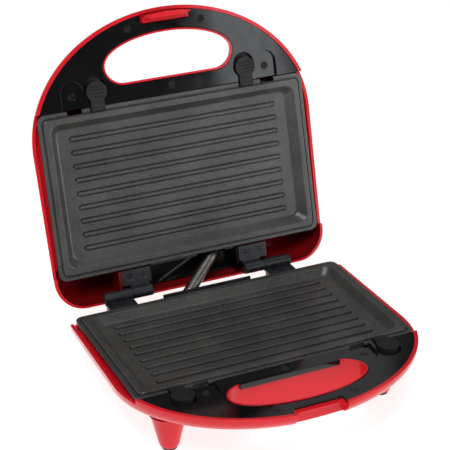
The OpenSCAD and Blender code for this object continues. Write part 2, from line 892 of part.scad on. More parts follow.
module lid_wiring() {
    color([0.55, 0.12, 0.1]) lid_frame() {
        run([[13, 64.5, 14.5], [11, 58.6, 24], [10, 44, 31], [10, element_y, 31.2]], 1);
        run([[11, 64.5, 14.5], [-4, 58.6, 24], [-10, 44, 31], [-10, element_y, 31.2]], 1);
        run([[-10, element_y - 1.2, 29], [-20, 20, 28], [-9, lens_y + 4.9, 27.5]], 1);
    }
}

module lamp_lenses() {
    for (i = [0, 1]) color(i == 0 ? [0.85, 0.1, 0.08] : [0.1, 0.6, 0.15]) lid_frame() {
        post(lens_x[i], lens_y, 32.8, dome_h - 3.1, 5);
        post(lens_x[i], lens_y, 34, dome_h + 0.6, 3.5);
    }
}

module neon_lamps() {
    color([0.95, 0.6, 0.4]) lid_frame()
        for (x = lens_x) {
            post(x, lens_y, 26, 32.6, 2.2);
            box([x - 5, lens_y - 5, 25], [x + 5, lens_y + 5, 26.2]);
        }
}

// Where a point of the lid's half frame stands while the lid is open
function opened(p) = let (y = p[1] - hinge_y, z = p[2] + hinge_drop)
    [p[0], hinge_y + y * cos(lid_open) + z * sin(lid_open),
        part_z - hinge_drop - y * sin(lid_open) + z * cos(lid_open)];

module wiring_conduit() {
    path = [[conduit_base[0], conduit_base[1], part_z - conduit_base[2] + 0.05],
        [conduit_base[0], conduit_base[1], 33.5], [-16.5, 72.3, 37.8], [-14.6, 73, 40.8], [-11, 75.1, 43.1],
        opened([12.8, 72.5, 5.4]), opened([16.6, 70, 8]), opened([19.2, 69, 11]),
        opened(conduit_lid - [0, 0, 2.2]), opened(conduit_lid - [0, 0, 0.05])];
    color(steel) tube(path, conduit_r, 12, [1, 0.2, 0]);
}

base_shell();
base_bezel();
base_plate();
base_reflector();
base_element();
base_element_clips();
base_rear_guard();
base_release_left();
base_release_right();
base_spring_left();
base_spring_right();
base_hinge_leaf_left();
base_hinge_leaf_right();
hinge_pin_left();
hinge_pin_right();
base_hinge_screws();
base_bezel_screws();
base_reflector_screws();
foot_pads();
cord_gland();
terminal_block();
thermostat();
thermal_fuse();
base_wiring();
wiring_conduit();
lid_shell();
lid_bezel();
lid_plate();
lid_reflector();
lid_element();
lid_element_clips();
lid_rear_guard();
lid_release_left();
lid_release_right();
lid_spring_left();
lid_spring_right();
lid_hinge_leaf_left();
lid_hinge_leaf_right();
lid_hinge_screws();
lid_bezel_screws();
lid_reflector_screws();
lid_inner_cover();
lamp_lenses();
neon_lamps();
lid_wiring();
latch();
latch_pin();
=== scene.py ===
import json
import math

import bmesh
import bpy
from mathutils import Matrix, Vector
from mathutils.bvhtree import BVHTree
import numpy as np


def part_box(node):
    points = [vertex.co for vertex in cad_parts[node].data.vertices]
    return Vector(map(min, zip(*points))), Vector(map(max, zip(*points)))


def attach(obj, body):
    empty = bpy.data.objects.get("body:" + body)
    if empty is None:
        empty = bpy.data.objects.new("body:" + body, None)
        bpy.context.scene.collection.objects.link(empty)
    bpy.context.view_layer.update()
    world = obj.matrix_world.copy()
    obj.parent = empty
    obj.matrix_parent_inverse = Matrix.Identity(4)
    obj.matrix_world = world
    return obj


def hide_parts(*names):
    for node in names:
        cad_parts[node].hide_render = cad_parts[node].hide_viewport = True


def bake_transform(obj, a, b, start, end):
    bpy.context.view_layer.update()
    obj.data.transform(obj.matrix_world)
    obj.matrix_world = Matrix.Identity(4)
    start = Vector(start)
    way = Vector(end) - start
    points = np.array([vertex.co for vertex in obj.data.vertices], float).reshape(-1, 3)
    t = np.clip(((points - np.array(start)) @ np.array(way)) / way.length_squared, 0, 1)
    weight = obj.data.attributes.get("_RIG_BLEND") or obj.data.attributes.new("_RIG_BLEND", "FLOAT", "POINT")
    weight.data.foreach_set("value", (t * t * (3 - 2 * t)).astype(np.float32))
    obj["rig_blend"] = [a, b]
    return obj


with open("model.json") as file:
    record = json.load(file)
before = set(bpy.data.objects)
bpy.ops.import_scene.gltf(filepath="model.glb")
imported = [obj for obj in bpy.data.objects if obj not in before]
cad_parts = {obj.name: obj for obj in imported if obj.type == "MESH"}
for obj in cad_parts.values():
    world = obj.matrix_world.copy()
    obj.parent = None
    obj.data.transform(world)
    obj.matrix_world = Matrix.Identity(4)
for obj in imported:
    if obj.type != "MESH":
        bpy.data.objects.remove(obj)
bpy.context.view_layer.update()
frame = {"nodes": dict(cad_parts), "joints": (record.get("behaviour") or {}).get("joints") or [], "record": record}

# ---- the two half frames ---------------------------------------------------------------
# Both halves are built closed and in millimetres: x to the right, y towards the hinge,
# h away from the parting plane. HALVES takes each one into the frame's metres, lid open.

MM = 0.001
RIM_H = 0.4

joints = {j["name"]: j for j in frame["joints"]}
hinge_at = Vector(joints["lid_hinge"]["pos_m"])
lid_open = math.radians(joints["lid_hinge"]["range_deg"][1])
plate_low, plate_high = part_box("base_plate")
part_z = plate_high.z + RIM_H * MM
hinge_drop = (part_z - hinge_at.z) / MM
table_h = part_z / MM

HALVES = {
    "base": Matrix.Translation((0, 0, part_z)) @ Matrix.Diagonal((MM, MM, -MM, 1)),
    "lid": Matrix.Translation(hinge_at) @ Matrix.Rotation(-lid_open, 4, "X")
    @ Matrix.Translation((0, -hinge_at.y, hinge_drop * MM)) @ Matrix.Diagonal((MM, MM, MM, 1)),
}

# ---- sizes in millimetres --------------------------------------------------------------

plate_w = (plate_high.x - plate_low.x) / MM
plate_d = (plate_high.y - plate_low.y) / MM
front_reach = -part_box("base_shell")[0].y / MM
half_w = 116.5
nose_y = -36.6
nose_b = front_reach + nose_y
nose_shift = 0.6
rear_y = 88.3
rear_r = 24
rear_taper = 1.5
wall = 2.6
rear_wall = 1.8
dome_h = 38
beyond_h = 60
# Each slice of the dome: depth, then how far its sides, front and rear are drawn in
DOME = [(0, 0, 0, 0), (4, 0.2, 0, 0.1), (8, 0.9, 1.8, 0.3), (12, 2, 6, 0.7), (17, 4.2, 20, 1.5),
        (26, 10.5, 50, 5), (33, 19, 74, 11), (38, 34, 94, 24)]

front_edge_y = -plate_d / 2 - 0.6
front_rim_h = 1
side_rim_h = 5
base_rear_rim_h = 17
lid_rear_rim_h = 2
rear_step_y = 61

bezel_h = 1.6
bezel_t = 2.2
lining_t = 1.6
handle_w = 108
hole_mid_y = -92.7
hole_front_b = 22.2
hole_rear_b = 15.7
hole_rear_a = 17
grip_straight_h = 4.2
grip_wide_h = 24
lid_grip_flare = 8

base_tab_x = 80.3
lid_tab_x = 61.8
pocket_y = -77.2
pocket_h = 4.2

latch_w = 37.4
notch_w = 38.6
notch_y = -120.7
latch_rear_y = -121.8
latch_top_h = 7.2
latch_pin_y = -125.9
latch_pin_h = 5.1
latch_pin_r = 1.2
slot_top_h = 8
slot_inset = 2.8
hook_w = 31
hook_h = -9
hook_rear_y = -125.9

barrel_r = 4.6

leg_x = 85
leg_ys = (-59.7, 66)
leg_top_r = 13
leg_foot_r = 7.6
leg_round_r = 3
leg_root_h = 22
pad_t = 2
pad_recess_r = 5.62

# The raised seats that the hinge leaves are screwed to, and where the conduit enters each half
base_seat_x = 67.8
lid_seat_x = 49.6
seat_half_w = 11.6
conduit_base = (-17, 72, 24)
conduit_lid = (20, 69, 16)
conduit_boss_r = 7
stud_r = 3.6
lens_y = -20
lens_x = 9


# ---- mesh helpers ----------------------------------------------------------------------

def mesh_object(name, points, faces):
    mesh = bpy.data.meshes.new(name)
    mesh.from_pydata([tuple(p) for p in points], [], faces)
    mesh.update()
    obj = bpy.data.objects.new(name, mesh)
    bpy.context.scene.collection.objects.link(obj)
    return obj


def settle(obj):
    """Applies the object's modifiers to its mesh."""
    depsgraph = bpy.context.evaluated_depsgraph_get()
    mesh = bpy.data.meshes.new_from_object(obj.evaluated_get(depsgraph))
    obj.modifiers.clear()
    obj.data = mesh
    return obj


def outward(obj):
    """Turns every face of a closed mesh outwards."""
    work = bmesh.new()
    work.from_mesh(obj.data)
    bmesh.ops.recalc_face_normals(work, faces=work.faces)
    work.to_mesh(obj.data)
    work.free()
    return obj


def loft(rings, name="part"):
    """A closed mesh through rings of equally many points, with a flat face at each end."""
    count = len(rings[0])
    faces = [[r * count + k, r * count + (k + 1) % count, (r + 1) * count + (k + 1) % count,
              (r + 1) * count + k] for r in range(len(rings) - 1) for k in range(count)]
    faces.append(list(range(count))[::-1])
    last = (len(rings) - 1) * count
    faces.append([last + k for k in range(count)])
    return outward(mesh_object(name, [p for ring in rings for p in ring], faces))


def ring(points, h):
    return [(x, y, h) for x, y in points]


def prism(points, h0, h1):
    return loft([ring(points, h0), ring(points, h1)])


def box(low, high):
    corners = [(low[0], low[1]), (high[0], low[1]), (high[0], high[1]), (low[0], high[1])]
    return prism(corners, low[2], high[2])


def circle(x, y, r, count=48):
    return [(x + r * math.cos(2 * math.pi * k / count), y + r * math.sin(2 * math.pi * k / count))
            for k in range(count)]


def post(x, y, h0, h1, r, count=48):
    return prism(circle(x, y, r, count), h0, h1)


def lathe(profile, x, y, count=64):
    """A turned solid on an upright axis, from (radius, h) points, its ends closed flat."""
    return loft([ring(circle(x, y, r, count), h) for r, h in profile])


def lying_post(x0, x1, y, h, r):
    """A round bar along x."""
    return loft([[(x, a, b) for a, b in circle(y, h, r)] for x in (x0, x1)])


def through_post(x, h, y0, y1, r):
    """A round bar along y."""
    return loft([[(a, y, b) for a, b in circle(x, h, r)] for y in (y0, y1)])


def boolean(target, others, operation):
    for other in others:
        modifier = target.modifiers.new("cut", "BOOLEAN")
        modifier.operation = operation
        modifier.solver = "MANIFOLD"
        modifier.object = other
        settle(target)
    for other in others:
        bpy.data.objects.remove(other)
    return target


def cut(target, *others):
    return boolean(target, others, "DIFFERENCE")


def join(target, *others):
    return boolean(target, others, "UNION")


def meet(target, *others):
    return boolean(target, others, "INTERSECT")


def clean(obj, flat_angle=0.3):
    """Merges doubled points and dissolves the cuts inside flat faces."""
    work = bmesh.new()
    work.from_mesh(obj.data)
    bmesh.ops.remove_doubles(work, verts=work.verts, dist=merge_distance(obj))
    bmesh.ops.dissolve_limit(work, angle_limit=math.radians(flat_angle), verts=work.verts,
                             edges=work.edges)
    work.to_mesh(obj.data)
    work.free()
    return obj


def merge_distance(obj):
    return 2e-4 * max(obj.dimensions) if max(obj.dimensions) > 0 else 1e-6


def round_edges(obj, width, segments=3, angle=32):
    """Rounds every edge sharper than angle, then shades the rest smooth."""
    bevel = obj.modifiers.new("round", "BEVEL")
    bevel.width = width
    bevel.segments = segments
    bevel.limit_method = "ANGLE"
    bevel.angle_limit = math.radians(angle)
    bevel.use_clamp_overlap = False
    bevel.miter_outer = "MITER_ARC"
    return shade(settle(obj))


def shade(obj, angle=38):
    obj.data.shade_smooth()
    obj.data.set_sharp_from_angle(angle=math.radians(angle))
    return obj


def place(obj, half):
    """Takes a piece from its half frame in millimetres into the frame, in metres."""
    obj.data.transform(HALVES[half])
    if half == "base":
        obj.data.flip_normals()
    return obj


# ---- which body, slot and node a piece stands for ----------------------------------------

record = frame["record"]
body_of_node = {n: body for body, nodes in record["behaviour"]["bodies"].items() for n in nodes}


def stand_for(obj, material, *nodes):
    """The piece rides on the first node's body, is made of its material and replaces them all."""
    weigh = obj.modifiers.new("weigh", "WEIGHTED_NORMAL")
    weigh.keep_sharp = True
    settle(obj)
    obj.name = nodes[0] + "_looks"
    obj.data.name = obj.name
    obj.data.materials.clear()
    obj.data.materials.append(material)
    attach(obj, body_of_node[nodes[0]])
    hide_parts(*nodes)
    return obj


# ---- materials ---------------------------------------------------------------------------

class Surface:
    """A Principled material with a few helpers for its procedural detail."""

    def __init__(self, name, **fixed):
        self.material = bpy.data.materials.new(name)
        self.material.use_nodes = True
        self.tree = self.material.node_tree
        self.shader = self.tree.nodes["Principled BSDF"]
        for socket, value in fixed.items():
            self.shader.inputs[socket.replace("_", " ")].default_value = value
        self.place = self.tree.nodes.new("ShaderNodeTexCoord").outputs["Object"]
        self.bumps = None

    def stretch(self, x, y, z):
        mapping = self.tree.nodes.new("ShaderNodeMapping")
        mapping.inputs["Scale"].default_value = (x, y, z)
        self.tree.links.new(self.place, mapping.inputs["Vector"])
        return mapping.outputs["Vector"]

    def noise(self, scale, detail=3, rough=0.5, vector=None):
        node = self.tree.nodes.new("ShaderNodeTexNoise")
        node.inputs["Scale"].default_value = scale
        node.inputs["Detail"].default_value = detail
        node.inputs["Roughness"].default_value = rough
        self.tree.links.new(vector or self.place, node.inputs["Vector"])
        return node.outputs["Fac"]

    def span(self, value, low, high, source=(0.3, 0.7)):
        node = self.tree.nodes.new("ShaderNodeMapRange")
        node.inputs["From Min"].default_value = source[0]
        node.inputs["From Max"].default_value = source[1]
        node.inputs["To Min"].default_value = low
        node.inputs["To Max"].default_value = high
        self.tree.links.new(value, node.inputs["Value"])
        return node.outputs["Result"]

    def blend(self, value, dark, light):
        node = self.tree.nodes.new("ShaderNodeMix")
        node.data_type = "RGBA"
        ends = {"A": (*dark, 1), "B": (*light, 1)}
        for socket in node.inputs:
            if socket.type == "RGBA":
                socket.default_value = ends[socket.name]
        self.tree.links.new(value, node.inputs["Factor"])
        return next(s for s in node.outputs if s.type == "RGBA")

    def set(self, socket, value):
        self.tree.links.new(value, self.shader.inputs[socket])
        return self

    def bump(self, height, depth_mm, strength=1.0):
        node = self.tree.nodes.new("ShaderNodeBump")
        node.inputs["Distance"].default_value = depth_mm * MM
        node.inputs["Strength"].default_value = strength
        self.tree.links.new(height, node.inputs["Height"])
        if self.bumps:
            self.tree.links.new(self.bumps, node.inputs["Normal"])
        self.bumps = node.outputs["Normal"]
        self.tree.links.new(self.bumps, self.shader.inputs["Normal"])
        return self


def moulded_plastic(name, dark, light, roughness, peel_mm=0.004, **fixed):
    """Glossy injection moulding: faint orange peel, flow marks and handling haze."""
    s = Surface(name, **fixed)
    s.set("Base Color", s.blend(s.span(s.noise(35, 4), 0, 1), dark, light))
    s.set("Roughness", s.span(s.noise(60, 5, 0.6), *roughness))
    s.bump(s.noise(260, 2), peel_mm)
    s.bump(s.noise(3200, 2), 0.0006)
    return s.material


def grained_plastic(name, dark, light, roughness, grain_mm):
    """Matte plastic with a spark-eroded grain."""
    s = Surface(name, Specular_IOR_Level=0.35)
    s.set("Base Color", s.blend(s.span(s.noise(90, 3), 0, 1), dark, light))
    s.set("Roughness", s.span(s.noise(400, 3), *roughness))
    s.bump(s.noise(1500, 4, 0.7), grain_mm)
    return s.material


def nonstick_coating():
    """Sprayed non-stick coating on cast aluminium: fine speckle over a slightly wavy skin."""
    s = Surface("nonstick_coating", Metallic=0.1, Specular_IOR_Level=0.7)
    speckle = s.noise(1050, 3, 0.75)
    cloud = s.span(s.noise(28, 4), 0.0, 0.35)
    add = s.tree.nodes.new("ShaderNodeMath")
    add.operation = "ADD"
    s.tree.links.new(s.span(speckle, 0, 0.65, (0.35, 0.65)), add.inputs[0])
    s.tree.links.new(cloud, add.inputs[1])
    s.set("Base Color", s.blend(add.outputs[0], (0.010, 0.0098, 0.0095), (0.108, 0.105, 0.100)))
    s.set("Roughness", s.span(s.noise(700, 3), 0.27, 0.40))
    s.bump(speckle, 0.06, 0.8)
    s.bump(s.noise(240, 3), 0.03)
    return s.material


def brushed(name, dark, light, roughness, along, depth_mm=0.004):
    """Metal with fine drawing marks along one axis, given as a stretch of the pattern."""
    s = Surface(name, Metallic=1.0)
    marks = s.noise(900, 4, 0.6, s.stretch(*along))
    s.set("Base Color", s.blend(s.span(marks, 0, 1), dark, light))
    s.set("Roughness", s.span(s.noise(120, 4), *roughness))
    s.bump(marks, depth_mm)
    return s.material


def enamelled_steel():
    """Black stove enamel on pressed steel, slightly orange-peeled and rubbed."""
    s = Surface("black_enamel", Metallic=0.0, Specular_IOR_Level=0.6)
    s.set("Base Color", s.blend(s.span(s.noise(150, 4), 0, 1), (0.008, 0.0085, 0.010),
                                (0.020, 0.021, 0.025)))
    s.set("Roughness", s.span(s.noise(220, 5, 0.65), 0.26, 0.44))
    s.bump(s.noise(900, 3), 0.012)
    return s.material


def screw_metal():
    """Bronzed zinc on the small screws."""
    s = Surface("screw_zinc", Metallic=1.0)
    s.set("Base Color", s.blend(s.span(s.noise(500, 4), 0, 1), (0.012, 0.0108, 0.009),
                                (0.05, 0.044, 0.035)))
    s.set("Roughness", s.span(s.noise(700, 3), 0.26, 0.5))
    s.bump(s.noise(1600, 3), 0.006)
    return s.material


def mottled(name, dark, light, roughness, scale, grain_mm, **fixed):
    """Any plain dielectric with speckled colour and a fine grain."""
    s = Surface(name, **fixed)
    s.set("Base Color", s.blend(s.span(s.noise(scale, 4), 0, 1), dark, light))
    s.set("Roughness", s.span(s.noise(scale * 2, 3), *roughness))
    s.bump(s.noise(scale * 5, 3), grain_mm)
    return s.material


def braided_sleeve():
    """Woven glass-fibre sleeve on the heat-proof wires."""
    s = Surface("braided_sleeve")
    weave = s.tree.nodes.new("ShaderNodeTexWave")
    weave.wave_type = "BANDS"
    weave.bands_direction = "DIAGONAL"
    weave.inputs["Scale"].default_value = 420
    weave.inputs["Distortion"].default_value = 1.5
    s.tree.links.new(s.place, weave.inputs["Vector"])
    s.set("Base Color", s.blend(weave.outputs["Fac"], (0.30, 0.05, 0.04), (0.60, 0.16, 0.12)))
    s.set("Roughness", s.span(s.noise(500, 2), 0.6, 0.8))
    s.bump(weave.outputs["Fac"], 0.08)
    return s.material


RED = moulded_plastic("red_gloss", (0.70, 0.009, 0.018), (0.74, 0.012, 0.022), (0.10, 0.20),
                      Specular_IOR_Level=0.38)
# A darker copy of the red plastic: painted shade for the faces inside the shells' cavities.
RED_PAINTED_SHADE = moulded_plastic("red_painted_shade", (0.16, 0.003, 0.005), (0.22, 0.004, 0.007), (0.12, 0.22))
BLACK = moulded_plastic("black_gloss", (0.003, 0.003, 0.0035), (0.006, 0.006, 0.007), (0.05, 0.13),
                        peel_mm=0.003)
TAB = grained_plastic("black_grained", (0.007, 0.0072, 0.008), (0.016, 0.0165, 0.018), (0.42, 0.57), 0.03)
COATING = nonstick_coating()
ENAMEL = enamelled_steel()
SCREW = screw_metal()
STEEL = brushed("drawn_steel", (0.42, 0.42, 0.43), (0.68, 0.68, 0.70), (0.2, 0.38), (1, 1, 0.05))
WOUND = brushed("wound_steel", (0.20, 0.185, 0.17), (0.42, 0.40, 0.37), (0.26, 0.40), (0.2, 1, 1))
TRAY = brushed("tray_sheet", (0.55, 0.55, 0.56), (0.78, 0.78, 0.79), (0.24, 0.42), (0.05, 1, 1))
SHEATH = mottled("element_sheath", (0.06, 0.055, 0.05), (0.20, 0.18, 0.17), (0.35, 0.6), 300, 0.02,
                 Metallic=0.8)
RUBBER = mottled("foot_rubber", (0.012, 0.012, 0.012), (0.03, 0.03, 0.03), (0.7, 0.9), 500, 0.03)
GLAND = grained_plastic("gland_plastic", (0.012, 0.012, 0.013), (0.03, 0.03, 0.032), (0.45, 0.65), 0.02)
CERAMIC = mottled("steatite", (0.70, 0.66, 0.58), (0.86, 0.83, 0.76), (0.35, 0.55), 220, 0.02)
SLEEVE = braided_sleeve()
LAMP = mottled("lamp_glass", (0.90, 0.52, 0.34), (0.95, 0.66, 0.46), (0.05, 0.12), 160, 0.004,
               Transmission_Weight=0.6)
LENS = mottled("lens_red", (0.55, 0.02, 0.02), (0.68, 0.05, 0.04), (0.06, 0.14), 120, 0.003,
               Transmission_Weight=0.35)


# ---- outlines ------------------------------------------------------------------------------

def arc(cx, cy, rx, ry, start, end, steps):
    return [(cx + rx * math.cos(math.radians(start + (end - start) * i / steps)),
             cy + ry * math.sin(math.radians(start + (end - start) * i / steps)))
            for i in range(steps + 1)]


def between(a, b, steps):
    """The inner points of a straight run from a to b."""
    return [(a[0] + (b[0] - a[0]) * i / steps, a[1] + (b[1] - a[1]) * i / steps)
            for i in range(1, steps)]


def outline(side, front, rear):
    """The housing's outline, drawn in by so much at its sides, front and rear."""
    r = rear_r - 0.45 * min(side, rear) * (min(side, rear) > wall) - min(side, rear, wall)
    cx = half_w - side - rear_taper - r
    cy = rear_y - rear - r
    nose = arc(0, nose_y + nose_shift * front, half_w - side, nose_b - (1 - nose_shift) * front,
               180, 360, 96)
    right = arc(cx, cy, r, r, 0, 90, 14)
    left = arc(-cx, cy, r, r, 90, 180, 14)
    return (nose + between(nose[-1], right[0], 10) + right + between(right[-1], left[0], 12) + left
            + between(left[-1], nose[0], 10))


def round_rect(w, d, r, steps=8):
    return (arc(w / 2 - r, d / 2 - r, r, r, 0, 90, steps) + arc(r - w / 2, d / 2 - r, r, r, 90, 180, steps)
            + arc(r - w / 2, r - d / 2, r, r, 180, 270, steps)
            + arc(w / 2 - r, r - d / 2, r, r, 270, 360, steps))


def hole_outline(grow):
    a = handle_w / 2 + grow
    ra = hole_rear_a + grow
    rb = hole_rear_b + grow
    cx = handle_w / 2 - hole_rear_a
    return (arc(0, hole_mid_y, a, hole_front_b + grow, 180, 360, 72)
            + arc(cx, hole_mid_y, ra, rb, 0, 90, 20)[1:] + arc(-cx, hole_mid_y, ra, rb, 90, 180, 20)[:-1])


def curve_through(rows, steps, first_slope, last_slope):
    """A smooth curve through rows of numbers; a slope of None is taken from its neighbours."""
    times = [0.0]
    for a, b in zip(rows, rows[1:]):
        times.append(times[-1] + math.sqrt(sum((q - p) ** 2 for p, q in zip(a, b))))
    slopes = []
    for i in range(len(rows)):
        low, high = max(i - 1, 0), min(i + 1, len(rows) - 1)
        slopes.append([(q - p) / (times[high] - times[low]) for p, q in zip(rows[low], rows[high])])
    slopes[0] = first_slope or slopes[0]
    slopes[-1] = last_slope or slopes[-1]
    found = []
    for i in range(len(rows) - 1):
        span = times[i + 1] - times[i]
        for k in range(steps):
            t = k / steps
            a, b = 2 * t**3 - 3 * t**2 + 1, t**3 - 2 * t**2 + t
            c, d = 3 * t**2 - 2 * t**3, t**3 - t**2
            found.append([a * p + b * span * m + c * q + d * span * n for p, q, m, n in
                          zip(rows[i], rows[i + 1], slopes[i], slopes[i + 1])])
    return found + [list(rows[-1])]


# ---- shells --------------------------------------------------------------------------------

def dome(grow=0, rear_grow=0, shrink=1, top=0):
    """The solid inside the dome's surface, its slices joined by smooth curves."""
    slices = curve_through(DOME, 5, (0.9, 0, 0, 0), (0, 0.6, 0.75, 0.55))
    rings = [ring(outline(grow, grow, rear_grow), top)] if top else []
    for h, side, front, rear in slices:
        rings.append(ring(outline(side + grow, front + grow, rear + rear_grow), h * shrink))
    return loft(rings)


def cavity_form():
    return dome(wall, rear_wall, 1 - wall / dome_h, -1)


def inner_posts(tab_x, own_pocket_x):
    """Screw posts, tab guides and plate rests, all standing on the dome's inside."""
    found = [post(x, y, bezel_h + bezel_t, beyond_h, stud_r)
             for x, y in ((0, -71.4), (-30, -118.5), (30, -118.5))]
    for s in (-1, 1):
        found.append(post(s * own_pocket_x, pocket_y + 3, pocket_h + 1.6, beyond_h, stud_r))
        found.append(box((s * tab_x - 6.5, -93.2, 6.2), (s * tab_x + 6.5, -91.2, beyond_h)))
        found += [box((s * tab_x + q * 5.6 - 1, -87, 6), (s * tab_x + q * 5.6 + 1, -69, beyond_h))
                  for q in (-1, 1)]
        found += [post(s * 50, y, 17.5, beyond_h, stud_r) for y in (-16, 18)]
        found += [box((s * 109 - 7.5, y - 5, 8.9), (s * 109 + 7.5, y + 5, beyond_h)) for y in (-36, 44)]
        found.append(box((s * 109 - 7.5, -60, 8.9), (s * 109 + 7.5, 56, 10.9)))
    return found


def grip(grow, flare):
    """The handle opening, grown by a margin and widening outwards by the flare."""
    if not flare:
        return prism(hole_outline(grow), -2, beyond_h)
    wide = hole_outline(grow + flare)
    return loft([ring(hole_outline(grow), -2), ring(hole_outline(grow), grip_straight_h),
                 ring(wide, grip_wide_h), ring(wide, beyond_h)])


def housing(tab_x, own_pocket_x, flare, extra):
    """A dome with its cavity, the walls and posts kept in the cavity, and the handle opening."""
    cavity = cavity_form()
    notch_wall = box((-notch_w / 2 - wall, -150, bezel_h + bezel_t),
                     (notch_w / 2 + wall, notch_y + wall, beyond_h))
    cut(cavity, grip(-0.3, flare), notch_wall, *inner_posts(tab_x, own_pocket_x), *extra)
    shell = cut(dome(), cavity)
    return cut(shell, grip(-0.3 - lining_t, flare))


def latch_slice(w, inset, back_y, h0, h1):
    """A straight piece behind the front wall, which follows the outline at an inset."""
    return meet(prism(outline(inset, inset, 0), h0, h1),
                box((-w / 2, -140, h0 - 1), (w / 2, back_y, h1 + 1)))


def trim_rim(shell, rear_h, kept):
    """Lowers the rim at the front, sides and rear, round what is kept."""
    cutters = [box((-130, -140, -1), (130, front_edge_y, front_rim_h)),
               box((-130, front_edge_y - 0.01, -1), (130, rear_step_y, side_rim_h)),
               box((-130, rear_step_y - 0.01, -1), (130, 95, rear_h))]
    for cutter in cutters:
        for low, high in kept:
            cut(cutter, box(low, high))
        cut(shell, cutter)
    return shell


def leg(x, y):
    round_h = table_h - pad_t + 0.6 - leg_round_r
    slope = (leg_foot_r - leg_top_r) / (round_h - leg_root_h)
    profile = [(leg_top_r + 1.6, leg_root_h - 1.5), (leg_top_r, leg_root_h), (leg_foot_r, round_h)]
    for k in range(1, 7):
        a = math.radians(90 * k / 6)
        profile.append((leg_foot_r + slope - leg_round_r * (1 - math.cos(a)),
                        round_h + leg_round_r * math.sin(a)))
    return lathe(profile, x, y)


def base_shell():
    leaf_h = hinge_drop + barrel_r
    hinge_blocks = [((x - seat_half_w, 62.5, leaf_h), (x + seat_half_w, 78, beyond_h))
                    for x in (-base_seat_x, base_seat_x)]
    gland_low, gland_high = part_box("cord_gland")
    gland_x = (gland_low.x + gland_high.x) / 2 / MM
    gland_h = table_h - (gland_low.z + gland_high.z) / 2 / MM
    boss = through_post(gland_x, gland_h, 70, 86.3, 9.5)
    extra = [box(low, high) for low, high in hinge_blocks]
    extra += [boss, post(*conduit_base, beyond_h, conduit_boss_r)]
    shell = housing(base_tab_x, lid_tab_x, 0, extra)
    trim_rim(shell, base_rear_rim_h, hinge_blocks)
    for x in (-leg_x, leg_x):
        for y in leg_ys:
            join(shell, cut(leg(x, y), cavity_form()))
            cut(shell, post(x, y, table_h - pad_t, beyond_h, pad_recess_r))
    cut(shell, box((-notch_w / 2, -150, -2), (notch_w / 2, notch_y, beyond_h)))
    join(shell, box((-16, notch_y - 3.2, 4), (16, notch_y + 0.5, 6)))
    cut(shell, through_post(gland_x, gland_h, 60, 77, 8), through_post(gland_x, gland_h, 70, 90, 5.2))
    finish_shell(shell, "base", 0)


def lid_shell():
    leaf_h = barrel_r - hinge_drop
    extra = [post(*conduit_lid, beyond_h, conduit_boss_r)]
    extra += [post(x, lens_y, 29, beyond_h, 6.4) for x in (-lens_x, lens_x)]
    for s in (-1, 1):
        seat_x = s * lid_seat_x
        extra += [box((seat_x - seat_half_w, 65.8, leaf_h), (seat_x + seat_half_w, 77, beyond_h)),
                  box((s * 62.2 - 1, 65.8, 3), (s * 62.2 + 1, 95, beyond_h))]
    shell = housing(lid_tab_x, base_tab_x, lid_grip_flare, extra)
    trim_rim(shell, lid_rear_rim_h, [])
    cut(shell, latch_slice(notch_w, slot_inset, notch_y, -2, bezel_h + bezel_t),
        latch_slice(notch_w, slot_inset + 1, notch_y, bezel_h, slot_top_h),
        lying_post(-notch_w / 2 - 2, notch_w / 2 + 2, latch_pin_y, latch_pin_h,
                   latch_pin_r + 0.02))
    for x in (-lens_x, lens_x):
        cut(shell, post(x, lens_y, 20, beyond_h, 3.6), post(x, lens_y, 20, dome_h - 3, 5.2))
    finish_shell(shell, "lid", lid_grip_flare)


def solid_tree(obj):
    """The surface of a closed solid, to ask on which side of it a point lies."""
    tree = BVHTree.FromPolygons([v.co for v in obj.data.vertices],
                                [p.vertices for p in obj.data.polygons])
    bpy.data.objects.remove(obj)
    return tree


def within(tree, point):
    hit, normal = tree.find_nearest(point)[:2]
    return (point - hit).dot(normal) < 0


def finish_shell(shell, half, flare):
    """Rounds a shell and paints the faces inside its cavity a darker red, as painted shade."""
    clean(shell, 0.05)
    round_edges(shell, 0.35)
    cavity = solid_tree(cavity_form())
    opening = solid_tree(grip(-0.25, flare))
    shell.data.calc_loop_triangles()
    inner = [False] * len(shell.data.polygons)
    largest = {}
    for part in shell.data.loop_triangles:
        if part.area > largest.get(part.polygon_index, (0, None))[0]:
            largest[part.polygon_index] = (part.area, Vector(part.center) + 0.4 * Vector(part.normal))
    for index, (_, point) in largest.items():
        notch = abs(point.x) < notch_w / 2 + wall and point.y < notch_y + wall
        shelf = abs(point.x) > 101 and abs(point.y) < 61
        inner[index] = not notch and not shelf and within(cavity, point) and not within(opening, point)
    # The faces found inside the cavity take the darker red copy, which paints in the cavity's shade.
    stand_for(place(shell, half), RED, half + "_shell")
    shell.data.materials.append(RED_PAINTED_SHADE)
    for face, shaded in zip(shell.data.polygons, inner):
        face.material_index = int(shaded)


base_shell()
lid_shell()


# ---- grill plates ----------------------------------------------------------------------------

FLANGE_W = 4
FLOOR_H = 6.5
# Section of a plate as (distance in from the flange's edge, depth, corner radius)
PLATE_SECTION = [
    (0.35, 4.0, 5.7), (0.1, 3.9, 5.9), (0, 3.65, 6), (0, 2.55, 6), (0.1, 2.3, 5.9), (0.35, 2.2, 5.7),
    (2.7, 2.2, 4.9), (2.85, 2.3, 4.8), (2.9, 3.4, 4.8), (3.95, 3.4, 4.1), (4, 1.3, 4), (4.12, 0.85, 4),
    (4.45, 0.5, 4), (4.9, 0.4, 4.2), (8.2, 0.4, 6.6), (8.65, 0.5, 6.8), (9.0, 0.8, 7), (9.4, 1.3, 7),
    (12.6, 5.2, 6), (13.1, 5.75, 5.8), (13.8, 6.25, 5.5), (14.6, 6.46, 5.2), (15.4, 6.5, 5)]
PLATE_UNDERSIDE = [(4, 4.0, 4), (4, 8.4, 4), (4.3, 8.7, 4), (6.5, 8.7, 4), (6.5, 6.9, 4), (11.4, 6.9, 6),
                   (11.4, 8.7, 6)]
RIB_W = 2.6
RIB_TOP_H = FLOOR_H - 1.6
